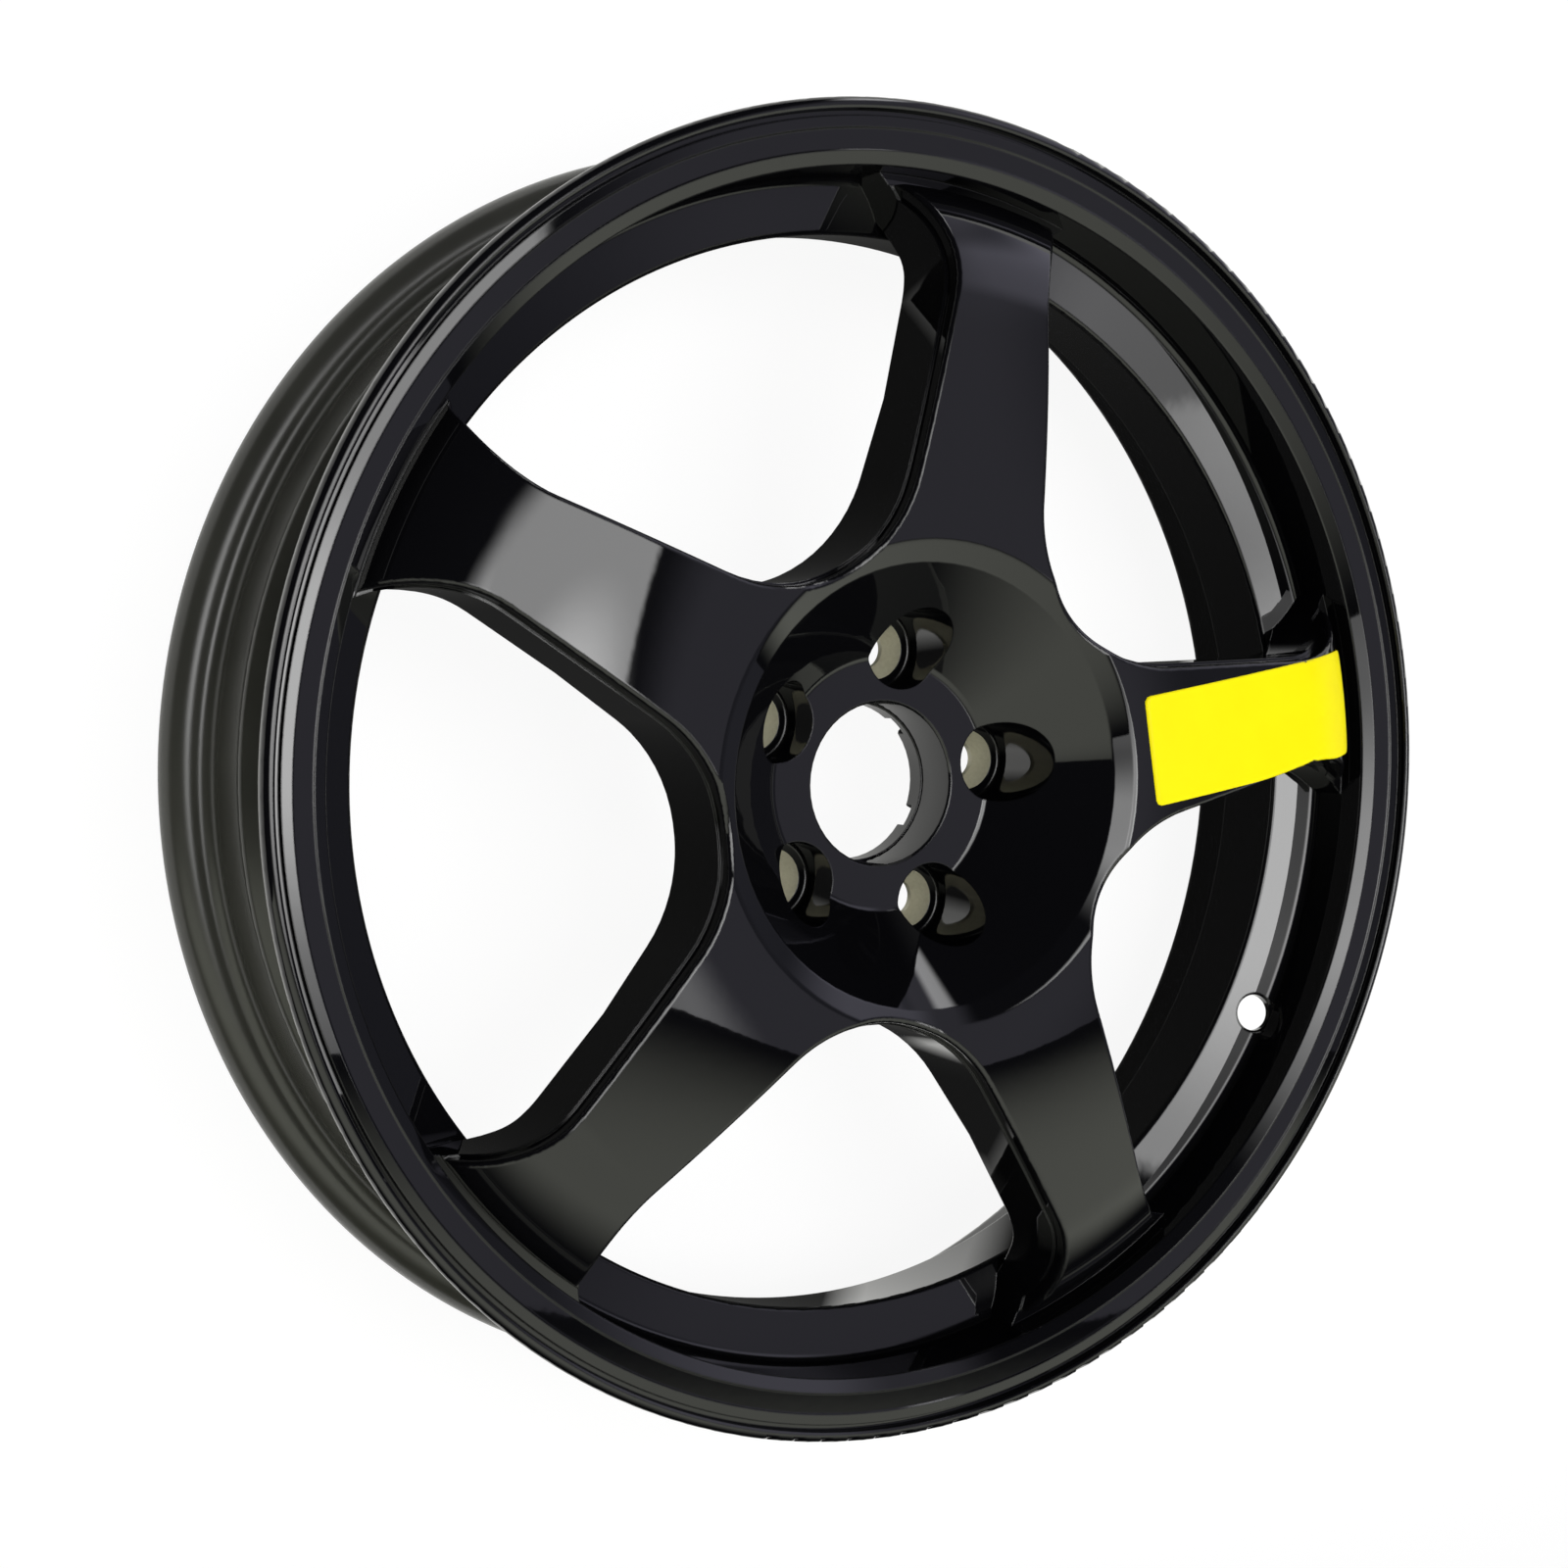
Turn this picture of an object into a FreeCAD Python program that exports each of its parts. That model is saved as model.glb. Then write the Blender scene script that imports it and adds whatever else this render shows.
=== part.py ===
"""Narrow cast alloy wheel rim with five broad spokes, in millimetres.

The wheel axis is Z and the outboard face looks up. The origin is on the axis, in the plane of the
face that bolts to the hub. The valve hole and one window lie on +X.
"""
import FreeCAD, Part
import math
import os
from types import SimpleNamespace

import Sketcher

doc = FreeCAD.newDocument("wheel_rim")

# Driving sizes, in millimetres unless the name ends in deg or count
SIZES = [
    # rim contour, a well base rim of nineteen inches by four
    ("bead_seat_r", 243.7),
    ("flange_height", 17.3),
    ("rim_width", 101.6),
    ("rim_offset", 14.0),
    ("flange_curl_r", 10.9),
    ("flange_lip_r", 3.6),
    ("bead_corner_r", 6.5),
    ("bead_taper_deg", 5.0),
    ("front_seat_width", 16.0),
    ("rear_seat_width", 25.6),
    ("hump_r", 243.0),
    ("hump_run", 6.2),
    ("hump_round", 3.0),
    ("well_r", 224.5),
    ("well_front_z", 8.3),
    ("well_rear_z", -19.0),
    ("well_round", 8.0),
    # inside of the barrel and the ring in front of the spokes
    ("rear_land", 5.5),
    ("rear_wall", 5.2),
    ("rear_wall_start", 2.2),
    ("rear_wall_length", 26.0),
    ("rear_wall_draft", 1.2),
    ("rear_wall_round", 9.0),
    ("well_rear_wall", 5.5),
    ("well_front_wall", 9.5),
    ("well_edge_round", 2.2),
    ("shelf_wall", 4.2),
    ("shelf_rise", 4.5),
    ("front_wall", 7.7),
    ("shelf_round", 4.0),
    ("ring_draft", 0.2),
    ("ring_edge_drop", 5.5),
    ("ring_edge_round", 1.2),
    ("ring_bevel_width", 5.4),
    ("ring_bevel_drop", 2.7),
    ("recess_wall", 0.5),
    ("recess_depth", 0.45),
    ("recess_width", 7.4),
    ("recess_rise", 0.7),
    ("land_rise", 0.55),
    ("land_width", 4.1),
    ("land_fall", 0.15),
    ("groove_wall", 0.3),
    ("groove_depth", 2.05),
    ("groove_width", 1.9),
    ("lip_edge_in", 0.9),
    ("lip_edge_drop", 0.6),
    # hub
    ("bore_r", 31.7),
    ("bore_lip_length", 9.8),
    ("bore_lip_height", 0.6),
    ("bore_rear_chamfer", 1.5),
    ("bore_front_chamfer", 0.8),
    ("pad_z", 30.5),
    ("pad_r", 50.0),
    ("pad_round", 4.0),
    ("bowl_deg", 45.5),
    ("hub_rear_r", 76.0),
    ("hub_rear_round", 3.0),
    # height of the spoke face along the radius
    ("chamfer_in_r", 86.4),
    ("chamfer_in_round", 4.0),
    ("chamfer_out_r", 94.5),
    ("chamfer_out_round", 6.0),
    ("ridge_round", 20.0),
    ("crown_r", 112.0),
    ("crown_z", 72.0),
    ("crown_arc", 600.0),
    ("shoulder_start_r", 188.0),
    ("shoulder_arc", 60.0),
    ("face_end_r", 231.5),
    ("gutter_z", 33.5),
    ("root_cover", 3.0),
    # back of the spokes
    ("root_bottom_drop", 1.5),
    ("root_inner_r", 224.0),
    ("root_rise", 4.0),
    ("heel_r", 203.0),
    ("heel_z", 28.0),
    ("heel_round", 20.0),
    ("back_mid_r", 150.0),
    ("back_mid_z", 34.0),
    ("back_root_r", 88.0),
    ("back_root_z", 28.0),
    ("back_root_round", 12.0),
    # hollows that lighten the spokes from behind
    ("hollow_in_r", 100.0),
    ("hollow_out_r", 194.0),
    ("hollow_in_width", 38.0),
    ("hollow_out_width", 24.0),
    ("hollow_round", 8.0),
    ("hollow_top_z", 57.0),
    ("hollow_draft_deg", 3.0),
    # windows between the spokes
    ("spoke_count", 5),
    ("window_centre_r", 151.6),
    ("window_inner_round", 59.8),
    ("window_flank_deg", 42.15),
    ("window_corner_r", 204.71),
    ("window_corner_round", 49.2),
    ("window_overrun", 6.0),
    ("edge_step_depth", 7.0),
    ("edge_step_width", 1.2),
    ("face_edge_round", 2.0),
    # lug pockets on the spoke axes
    ("lug_pitch_r", 54.0),
    ("lug_pocket_r", 16.0),
    ("lug_floor_z", 10.45),
    ("lug_floor_round", 1.0),
    ("lug_seat_r", 12.1),
    ("lug_seat_deg", 30.0),
    ("lug_hole_r", 7.75),
    # slots through the rear lip of the bore
    ("slot_width", 9.0),
    ("slot_depth", 6.0),
    ("slot_reach", 6.5),
    ("slot_round", 3.0),
    # valve hole through the shelf in front of the well
    ("valve_r", 231.0),
    ("valve_hole_r", 7.95),
    ("valve_chamfer", 1.05),
    ("tool_overrun", 12.0),
    ("section_turn_deg", 12.0),
]

sheet = doc.addObject("Spreadsheet::Sheet", "Sizes")
for row, (alias, value) in enumerate(SIZES, start=1):
    sheet.set(f"A{row}", alias)
    sheet.set(f"B{row}", str(value))
    sheet.setAlias(f"B{row}", alias)
doc.recompute()


class Dim:
    """A size kept twice: as a number that places geometry and as the formula that drives it."""

    def __init__(self, number, formula):
        self.number = number
        self.formula = formula

    def __add__(self, other):
        other = as_dim(other)
        return Dim(self.number + other.number, f"({self.formula} + {other.formula})")

    def __sub__(self, other):
        other = as_dim(other)
        return Dim(self.number - other.number, f"({self.formula} - {other.formula})")

    def __mul__(self, other):
        other = as_dim(other)
        return Dim(self.number * other.number, f"({self.formula} * {other.formula})")

    def __truediv__(self, other):
        other = as_dim(other)
        return Dim(self.number / other.number, f"({self.formula} / {other.formula})")

    def __neg__(self):
        return Dim(-self.number, f"(0 - {self.formula})")


def as_dim(value):
    return value if isinstance(value, Dim) else Dim(float(value), str(value))


def sine(angle):
    return Dim(math.sin(math.radians(angle.number)), f"sin({angle.formula} * 1 deg)")


def cosine(angle):
    return Dim(math.cos(math.radians(angle.number)), f"cos({angle.formula} * 1 deg)")


size = SimpleNamespace(**{alias: Dim(float(value), f"Sizes.{alias}") for alias, value in SIZES})

# Places that several outlines share
flange_r = size.bead_seat_r + size.flange_height
front_z = size.rim_width / 2 - size.rim_offset
rear_z = -(size.rim_width / 2) - size.rim_offset
front_top = front_z + size.flange_curl_r + size.flange_lip_r
rear_top = rear_z - size.flange_curl_r - size.flange_lip_r
ring_r = size.bead_seat_r - size.front_wall
shelf_in_r = size.well_r - size.well_front_wall
shelf_in_z = size.well_front_z + size.shelf_wall
shelf_out_z = shelf_in_z + size.shelf_rise
disc_r = ring_r + size.root_cover


class At:
    """One station of an outline.

    across, up: its place, None where the neighbours settle it and near gives a first guess.
    ease: radius of a tangent round at the corner. arc: radius of the arc that leaves the station,
    turn -1 for clockwise. smooth: the two sides meet without a corner. lean: angle of the line
    that leaves the station, in degrees from the horizontal.
    """

    def __init__(self, across, up, ease=None, arc=None, turn=-1, smooth=False, near=None, lean=None):
        self.across = None if across is None else as_dim(across)
        self.up = None if up is None else as_dim(up)
        self.ease = ease
        self.arc = arc
        self.turn = turn
        self.smooth = smooth
        self.lean = lean
        guess = near or (0.0, 0.0)
        self.spot = FreeCAD.Vector(
            guess[0] if self.across is None else self.across.number,
            guess[1] if self.up is None else self.up.number,
            0.0,
        )


def drive(sketch, constraint, value):
    """Adds a constraint and ties its size to the sheet."""
    index = sketch.addConstraint(constraint)
    sketch.setExpression(f"Constraints[{index}]", value.formula)


def pin(sketch, geometry, end, across, up):
    """Holds a point at signed distances from the origin, or on an axis where one is nought."""
    for kind, axis, value in (("DistanceX", -2, across), ("DistanceY", -1, up)):
        if value is None:
            continue
        if value.formula == "0":
            sketch.addConstraint(Sketcher.Constraint("PointOnObject", geometry, end, axis))
        else:
            drive(sketch, Sketcher.Constraint(kind, -1, 1, geometry, end, value.number), value)


def arc_geometry(begin, finish, radius, turn):
    """The shorter arc of a radius between two points, always stored counter-clockwise."""
    chord = finish - begin
    half = chord.Length / 2
    normal = FreeCAD.Vector(-chord.y, chord.x, 0).normalize()
    rise = math.sqrt(max(radius * radius - half * half, 0.0))
    centre = begin + chord * 0.5 + normal * (rise * turn)
    first, last = (begin, finish) if turn > 0 else (finish, begin)
    start = math.atan2(first.y - centre.y, first.x - centre.x)
    stop = math.atan2(last.y - centre.y, last.x - centre.x)
    circle = Part.Circle(centre, FreeCAD.Vector(0, 0, 1), radius)
    return Part.ArcOfCircle(circle, start, stop if stop > start else stop + 2 * math.pi)


def outline(sketch, stations):
    """Draws a closed outline of lines and arcs through the stations and fixes all of its sizes."""
    count = len(stations)
    arrive = [station.spot for station in stations]
    leave = [station.spot for station in stations]
    rounds = {}
    for i, station in enumerate(stations):
        if station.ease is None:
            continue
        back = (stations[i - 1].spot - station.spot).normalize()
        ahead = (stations[(i + 1) % count].spot - station.spot).normalize()
        reach = station.ease.number / math.tan(back.getAngle(ahead) / 2)
        arrive[i] = station.spot + back * reach
        leave[i] = station.spot + ahead * reach
        rounds[i] = 1 if back.cross(ahead).z < 0 else -1
    sides = []
    for i, station in enumerate(stations):
        begin, finish = leave[i], arrive[(i + 1) % count]
        if station.arc is None:
            sides.append((sketch.addGeometry(Part.LineSegment(begin, finish)), 1, 2))
            if station.lean is not None:
                bend = Sketcher.Constraint("Angle", sides[-1][0], math.radians(station.lean.number))
                index = sketch.addConstraint(bend)
                sketch.setExpression(f"Constraints[{index}]", f"{station.lean.formula} * 1 deg")
        else:
            curve = arc_geometry(begin, finish, station.arc.number, station.turn)
            ends = (1, 2) if station.turn > 0 else (2, 1)
            sides.append((sketch.addGeometry(curve), *ends))
            drive(sketch, Sketcher.Constraint("Radius", sides[-1][0], station.arc.number), station.arc)
    for i, station in enumerate(stations):
        before, after = sides[i - 1], sides[i]
        if station.ease is None:
            joint = "Tangent" if station.smooth else "Coincident"
            sketch.addConstraint(Sketcher.Constraint(joint, before[0], before[2], after[0], after[1]))
            pin(sketch, after[0], after[1], station.across, station.up)
            continue
        turn = rounds[i]
        curve = arc_geometry(arrive[i], leave[i], station.ease.number, turn)
        ends = (1, 2) if turn > 0 else (2, 1)
        bend = sketch.addGeometry(curve)
        corner = sketch.addGeometry(Part.Point(station.spot), True)
        sketch.addConstraint(Sketcher.Constraint("Tangent", before[0], before[2], bend, ends[0]))
        sketch.addConstraint(Sketcher.Constraint("Tangent", bend, ends[1], after[0], after[1]))
        sketch.addConstraint(Sketcher.Constraint("PointOnObject", corner, 1, before[0]))
        sketch.addConstraint(Sketcher.Constraint("PointOnObject", corner, 1, after[0]))
        drive(sketch, Sketcher.Constraint("Radius", bend, station.ease.number), station.ease)
        pin(sketch, corner, 1, station.across, station.up)
    return sides


def origin_of(body, role):
    return [feature for feature in body.Origin.OriginFeatures if feature.Role == role][0]


def sketch_on(body, role, name):
    sketch = body.newObject("Sketcher::SketchObject", name)
    sketch.AttachmentSupport = (origin_of(body, role), [""])
    sketch.MapMode = "FlatFace"
    return sketch


def section_on(body, name):
    """A sketch through the wheel axis, turned clear of the valve hole, the slots and the lugs."""
    sketch = sketch_on(body, "XZ_Plane", name)
    sketch.AttachmentOffset = FreeCAD.Placement(
        FreeCAD.Vector(), FreeCAD.Rotation(FreeCAD.Vector(0, 1, 0), size.section_turn_deg.number))
    sketch.setExpression(".AttachmentOffset.Rotation.Angle", f"{size.section_turn_deg.formula} * 1 deg")
    return sketch


def turned(body, kind, name, sketch, axis="V_Axis"):
    """A full turn of a section about a line of its own sketch."""
    feature = body.newObject(f"PartDesign::{kind}", name)
    feature.Profile = sketch
    feature.ReferenceAxis = (sketch, [axis])
    feature.Angle = 360
    doc.recompute()
    return feature


def repeated(body, name, feature):
    """The same feature on every spoke or window."""
    pattern = body.newObject("PartDesign::PolarPattern", name)
    pattern.Originals = [feature]
    pattern.Axis = (origin_of(body, "Z_Axis"), [""])
    pattern.Angle = 360
    pattern.setExpression("Occurrences", "Sizes.spoke_count")
    body.Tip = pattern
    doc.recompute()
    return pattern


# Circles that shape the spoke face: ridge, crown and shoulder, each tangent to the next
def face_places():
    lean = math.radians(size.bowl_deg.number)
    ridge, crown, shoulder = (d.number for d in (size.ridge_round, size.crown_arc, size.shoulder_arc))
    middle = FreeCAD.Vector(size.crown_r.number, size.crown_z.number - crown, 0)
    along = FreeCAD.Vector(math.cos(lean), math.sin(lean), 0)
    down = FreeCAD.Vector(math.sin(lean), -math.cos(lean), 0)
    foot = FreeCAD.Vector(size.pad_r.number, size.pad_z.number, 0) + down * ridge
    gap = foot - middle
    half = gap.dot(along)
    travel = -half + math.sqrt(half * half - gap.dot(gap) + (crown - ridge) ** 2)
    ridge_centre = foot + along * travel
    over = size.shoulder_start_r.number - middle.x
    unit = FreeCAD.Vector(over, math.sqrt(crown * crown - over * over), 0) * (1 / crown)
    return middle, ridge_centre, middle + unit * (crown - shoulder), down, unit


crown_centre, ridge_centre, shoulder_centre, cone_down, shoulder_up = face_places()
ridge_up = (ridge_centre - crown_centre).normalize()


def face_height(radius):
    """Height of the painted face at a distance from the axis, without the small rounds."""
    over = size.shoulder_start_r.number
    inner, outer = size.chamfer_in_r.number, size.chamfer_out_r.number
    rise = math.tan(math.radians(size.bowl_deg.number))
    foot = size.pad_z.number + (inner - size.pad_r.number) * rise
    if radius < inner:
        return foot - (inner - radius) * rise
    if radius < outer:
        return foot + (face_height(outer) - foot) * (radius - inner) / (outer - inner)
    centre, arc = crown_centre, size.crown_arc.number
    if radius > over:
        centre, arc = shoulder_centre, size.shoulder_arc.number
    return centre.y + math.sqrt(max(arc * arc - (radius - centre.x) ** 2, 0.0))


def under_face(depth, start, last):
    """Stations of a surface at a depth under the face, which rolls over the ridge in one round."""
    deep = depth.number
    cone = ridge_centre - cone_down * (size.ridge_round.number - deep)
    ridge = ridge_centre + ridge_up * (size.ridge_round.number - deep)
    shoulder = crown_centre + shoulder_up * (size.crown_arc.number - deep)
    arc = size.crown_arc - depth
    joint_r = size.crown_r + (size.shoulder_start_r - size.crown_r) * (arc / size.crown_arc)
    return [
        start,
        At(None, None, near=(cone.x, cone.y), arc=size.ridge_round - depth, smooth=True),
        At(None, None, near=(ridge.x, ridge.y), arc=arc, smooth=True),
        At(joint_r, None, near=(0.0, shoulder.y), arc=size.shoulder_arc - depth, smooth=True),
        last,
    ]


def centre_crown(sketch, sides, index):
    """Puts the centre of the crown arc under the highest circle of the face."""
    pin(sketch, sides[index][0], 3, size.crown_r, size.crown_z - size.crown_arc)


# Outline of one window, larger by the step near the face and smaller below it
def window(sketch, inset):
    inner = size.window_inner_round - inset
    corner = size.window_corner_round - inset
    outer = disc_r + size.window_overrun
    lean = math.radians(size.window_flank_deg.number)
    along = FreeCAD.Vector(math.cos(lean), math.sin(lean), 0)
    side = FreeCAD.Vector(-math.sin(lean), math.cos(lean), 0)
    centre = FreeCAD.Vector(size.window_centre_r.number, 0, 0)
    base = centre + side * (inner.number - corner.number)
    half = base.dot(along)
    run = -half + math.sqrt(half**2 - base.dot(base) + size.window_corner_r.number**2)
    middle = base + along * run
    root = centre + side * inner.number
    tip = middle + side * corner.number
    reach = middle.Length
    swing = (outer.number**2 - reach**2 - corner.number**2) / (2 * reach * corner.number)
    heading = math.atan2(middle.y, middle.x) + math.acos(swing)
    end = middle + FreeCAD.Vector(math.cos(heading), math.sin(heading), 0) * corner.number

    def low(point):
        return FreeCAD.Vector(point.x, -point.y, 0)

    back = sketch.addGeometry(Part.ArcOfCircle(
        Part.Circle(FreeCAD.Vector(size.window_centre_r.number, 0, 0), FreeCAD.Vector(0, 0, 1), inner.number),
        math.pi / 2 + lean, 3 * math.pi / 2 - lean))
    upper = sketch.addGeometry(Part.LineSegment(root, tip))
    lower = sketch.addGeometry(Part.LineSegment(low(tip), low(root)))
    upper_bend = sketch.addGeometry(arc_geometry(tip, end, corner.number, -1))
    lower_bend = sketch.addGeometry(arc_geometry(low(end), low(tip), corner.number, -1))
    swing_angle = math.atan2(end.y, end.x)
    rim = sketch.addGeometry(Part.ArcOfCircle(
        Part.Circle(FreeCAD.Vector(0, 0, 0), FreeCAD.Vector(0, 0, 1), outer.number),
        -swing_angle, swing_angle))
    for first, first_end, second, second_end, kind in (
        (back, 1, upper, 1, "Tangent"),
        (lower, 2, back, 2, "Tangent"),
        (upper, 2, upper_bend, 2, "Tangent"),
        (lower_bend, 1, lower, 1, "Tangent"),
        (upper_bend, 1, rim, 2, "Coincident"),
        (rim, 1, lower_bend, 2, "Coincident"),
    ):
        sketch.addConstraint(Sketcher.Constraint(kind, first, first_end, second, second_end))
    pin(sketch, back, 3, size.window_centre_r, as_dim(0))
    sketch.addConstraint(Sketcher.Constraint("Coincident", rim, 3, -1, 1))
    sketch.addConstraint(Sketcher.Constraint("Symmetric", upper, 2, lower, 1, -1))
    index = sketch.addConstraint(Sketcher.Constraint("Angle", upper, lean))
    sketch.setExpression(f"Constraints[{index}]", f"{size.window_flank_deg.formula} * 1 deg")
    from_axis = size.window_corner_r
    drive(sketch, Sketcher.Constraint("Distance", -1, 1, upper_bend, 3, from_axis.number), from_axis)
    sketch.addConstraint(Sketcher.Constraint("Equal", upper_bend, lower_bend))
    for geometry, radius in ((back, inner), (upper_bend, corner), (rim, outer)):
        drive(sketch, Sketcher.Constraint("Radius", geometry, radius.number), radius)


# The wheel starts as a turned disc: hub, bowl, spoke face, spoke back
wheel = doc.addObject("PartDesign::Body", "wheel_rim")
wheel.Label = "wheel_rim"
disc_section = section_on(wheel, "disc_section")
front_bore_r = size.bore_r + size.bore_lip_height
disc_stations = [
    At(size.bore_r + size.bore_rear_chamfer, 0),
    At(size.bore_r, size.bore_rear_chamfer),
    At(size.bore_r, size.bore_lip_length),
    At(front_bore_r, size.bore_lip_length),
    At(front_bore_r, size.pad_z - size.bore_front_chamfer),
    At(front_bore_r + size.bore_front_chamfer, size.pad_z),
    At(size.pad_r, size.pad_z, ease=size.pad_round, lean=size.bowl_deg),
    At(size.chamfer_in_r, None, near=(0.0, face_height(size.chamfer_in_r.number)), ease=size.chamfer_in_round),
    At(size.chamfer_out_r, None, near=(0.0, face_height(size.chamfer_out_r.number)),
       ease=size.chamfer_out_round, arc=size.crown_arc),
    At(size.shoulder_start_r, None, near=(0.0, face_height(size.shoulder_start_r.number)),
       arc=size.shoulder_arc, smooth=True),
    At(size.face_end_r, None, near=(0.0, face_height(size.face_end_r.number))),
    At(size.face_end_r, size.gutter_z),
    At(disc_r, size.gutter_z),
    At(disc_r, shelf_out_z - size.root_bottom_drop),
    At(size.root_inner_r, shelf_out_z - size.root_bottom_drop - size.root_rise),
    At(size.heel_r, size.heel_z, ease=size.heel_round),
    At(size.back_mid_r, size.back_mid_z),
    At(size.back_root_r, size.back_root_z, ease=size.back_root_round),
    At(size.hub_rear_r, 0, ease=size.hub_rear_round),
]
disc_sides = outline(disc_section, disc_stations)
centre_crown(disc_section, disc_sides, 8)
disc = turned(wheel, "Revolution", "disc", disc_section)

# Five windows leave the spokes standing
core_sketch = sketch_on(wheel, "XY_Plane", "window_core")
window(core_sketch, size.edge_step_width)
core = wheel.newObject("PartDesign::Pocket", "window_cut")
core.Profile = core_sketch
core.Type = "ThroughAll"
core.Midplane = True
doc.recompute()
windows = repeated(wheel, "windows", core)

# Near the face the windows are a little wider, which leaves a step along every spoke edge
relief = doc.addObject("PartDesign::Body", "edge_relief")
relief.Label = "edge_relief"
relief.AllowCompound = True
cap_sketch = sketch_on(relief, "XY_Plane", "window_cap")
window(cap_sketch, as_dim(0))
cap = relief.newObject("PartDesign::Pad", "cap_block")
cap.Profile = cap_sketch
cap.setExpression("Length", (size.crown_z + size.tool_overrun).formula)
doc.recompute()
repeated(relief, "cap_blocks", cap)
under = section_on(relief, "under_step")
deep = size.edge_step_depth
step_end_z = size.gutter_z + 1
step_arc = size.shoulder_arc.number - deep.number
reach = math.sqrt(step_arc**2 - (step_end_z.number - shoulder_centre.y) ** 2)
outer_r = disc_r + size.window_overrun + size.tool_overrun
foot_r = size.pad_r + deep * sine(size.bowl_deg)
foot_z = size.pad_z - deep * cosine(size.bowl_deg)
under_stations = [
    *under_face(
        deep,
        At(foot_r, foot_z, lean=size.bowl_deg),
        At(None, step_end_z, near=(shoulder_centre.x + reach, 0.0)),
    ),
    At(outer_r, step_end_z),
    At(outer_r, -size.tool_overrun),
    At(size.pad_r, -size.tool_overrun),
]
under_sides = outline(under, under_stations)
centre_crown(under, under_sides, 2)
turned(relief, "Groove", "step_floor", under)
step = wheel.newObject("PartDesign::Boolean", "edge_step")
step.setObjects([relief])
step.Type = "Cut"
wheel.Tip = step
doc.recompute()


# The painted face rolls over into the window flanks
def flank_edges(shape):
    """Edges where the face meets a window flank."""
    found = []
    for number, edge in enumerate(shape.Edges, start=1):
        middle = edge.valueAt((edge.FirstParameter + edge.LastParameter) / 2)
        radius = math.hypot(middle.x, middle.y)
        if radius < size.back_root_r.number or radius > size.face_end_r.number:
            continue
        if abs(middle.z - face_height(radius)) > 0.5:
            continue
        upright = [
            face
            for face in shape.ancestorsOfType(edge, Part.Face)
            if abs(face.normalAt(*face.Surface.parameter(middle)).z) < 0.01
        ]
        if upright:
            found.append(f"Edge{number}")
    return found


face_edges = wheel.newObject("PartDesign::Fillet", "face_edges")
face_edges.Base = (step, flank_edges(step.Shape))
face_edges.setExpression("Radius", "Sizes.face_edge_round")
wheel.Tip = face_edges
doc.recompute()

# A hollow in the back of every spoke saves weight and keeps the walls even in the mould
hollow_sketch = sketch_on(wheel, "XY_Plane", "hollow_outline")
hollow_sketch.setExpression(".AttachmentOffset.Rotation.Angle", "(180 / Sizes.spoke_count) * 1 deg")
outline(hollow_sketch, [
    At(size.hollow_in_r, -(size.hollow_in_width / 2), ease=size.hollow_round),
    At(size.hollow_out_r, -(size.hollow_out_width / 2), ease=size.hollow_round),
    At(size.hollow_out_r, size.hollow_out_width / 2, ease=size.hollow_round),
    At(size.hollow_in_r, size.hollow_in_width / 2, ease=size.hollow_round),
])
hollow = wheel.newObject("PartDesign::Pocket", "spoke_hollow")
hollow.Profile = hollow_sketch
hollow.Reversed = True
hollow.setExpression("Length", "Sizes.hollow_top_z")
hollow.setExpression("TaperAngle", "0 - Sizes.hollow_draft_deg")
doc.recompute()
repeated(wheel, "spoke_hollows", hollow)

# The barrel that carries the tyre closes round the spoke ends
barrel_section = section_on(wheel, "barrel_section")
seat_fall = sine(size.bead_taper_deg) / cosine(size.bead_taper_deg)
rear_wall_r = size.bead_seat_r - size.rear_wall
rear_wall_z = rear_z - size.rear_wall_start
front_seat_end = front_z - size.front_seat_width
rear_seat_end = rear_z + size.rear_seat_width
bevel_r = ring_r + size.ring_bevel_width
bevel_z = front_top - size.ring_bevel_drop
recess_in_r = bevel_r + size.recess_wall
recess_out_r = recess_in_r + size.recess_width
recess_out_z = bevel_z - size.recess_depth + size.recess_rise
land_in_r = recess_out_r + size.recess_wall
land_in_z = recess_out_z + size.land_rise
land_out_r = land_in_r + size.land_width
land_out_z = land_in_z - size.land_fall
groove_in_r = land_out_r + size.groove_wall
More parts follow.
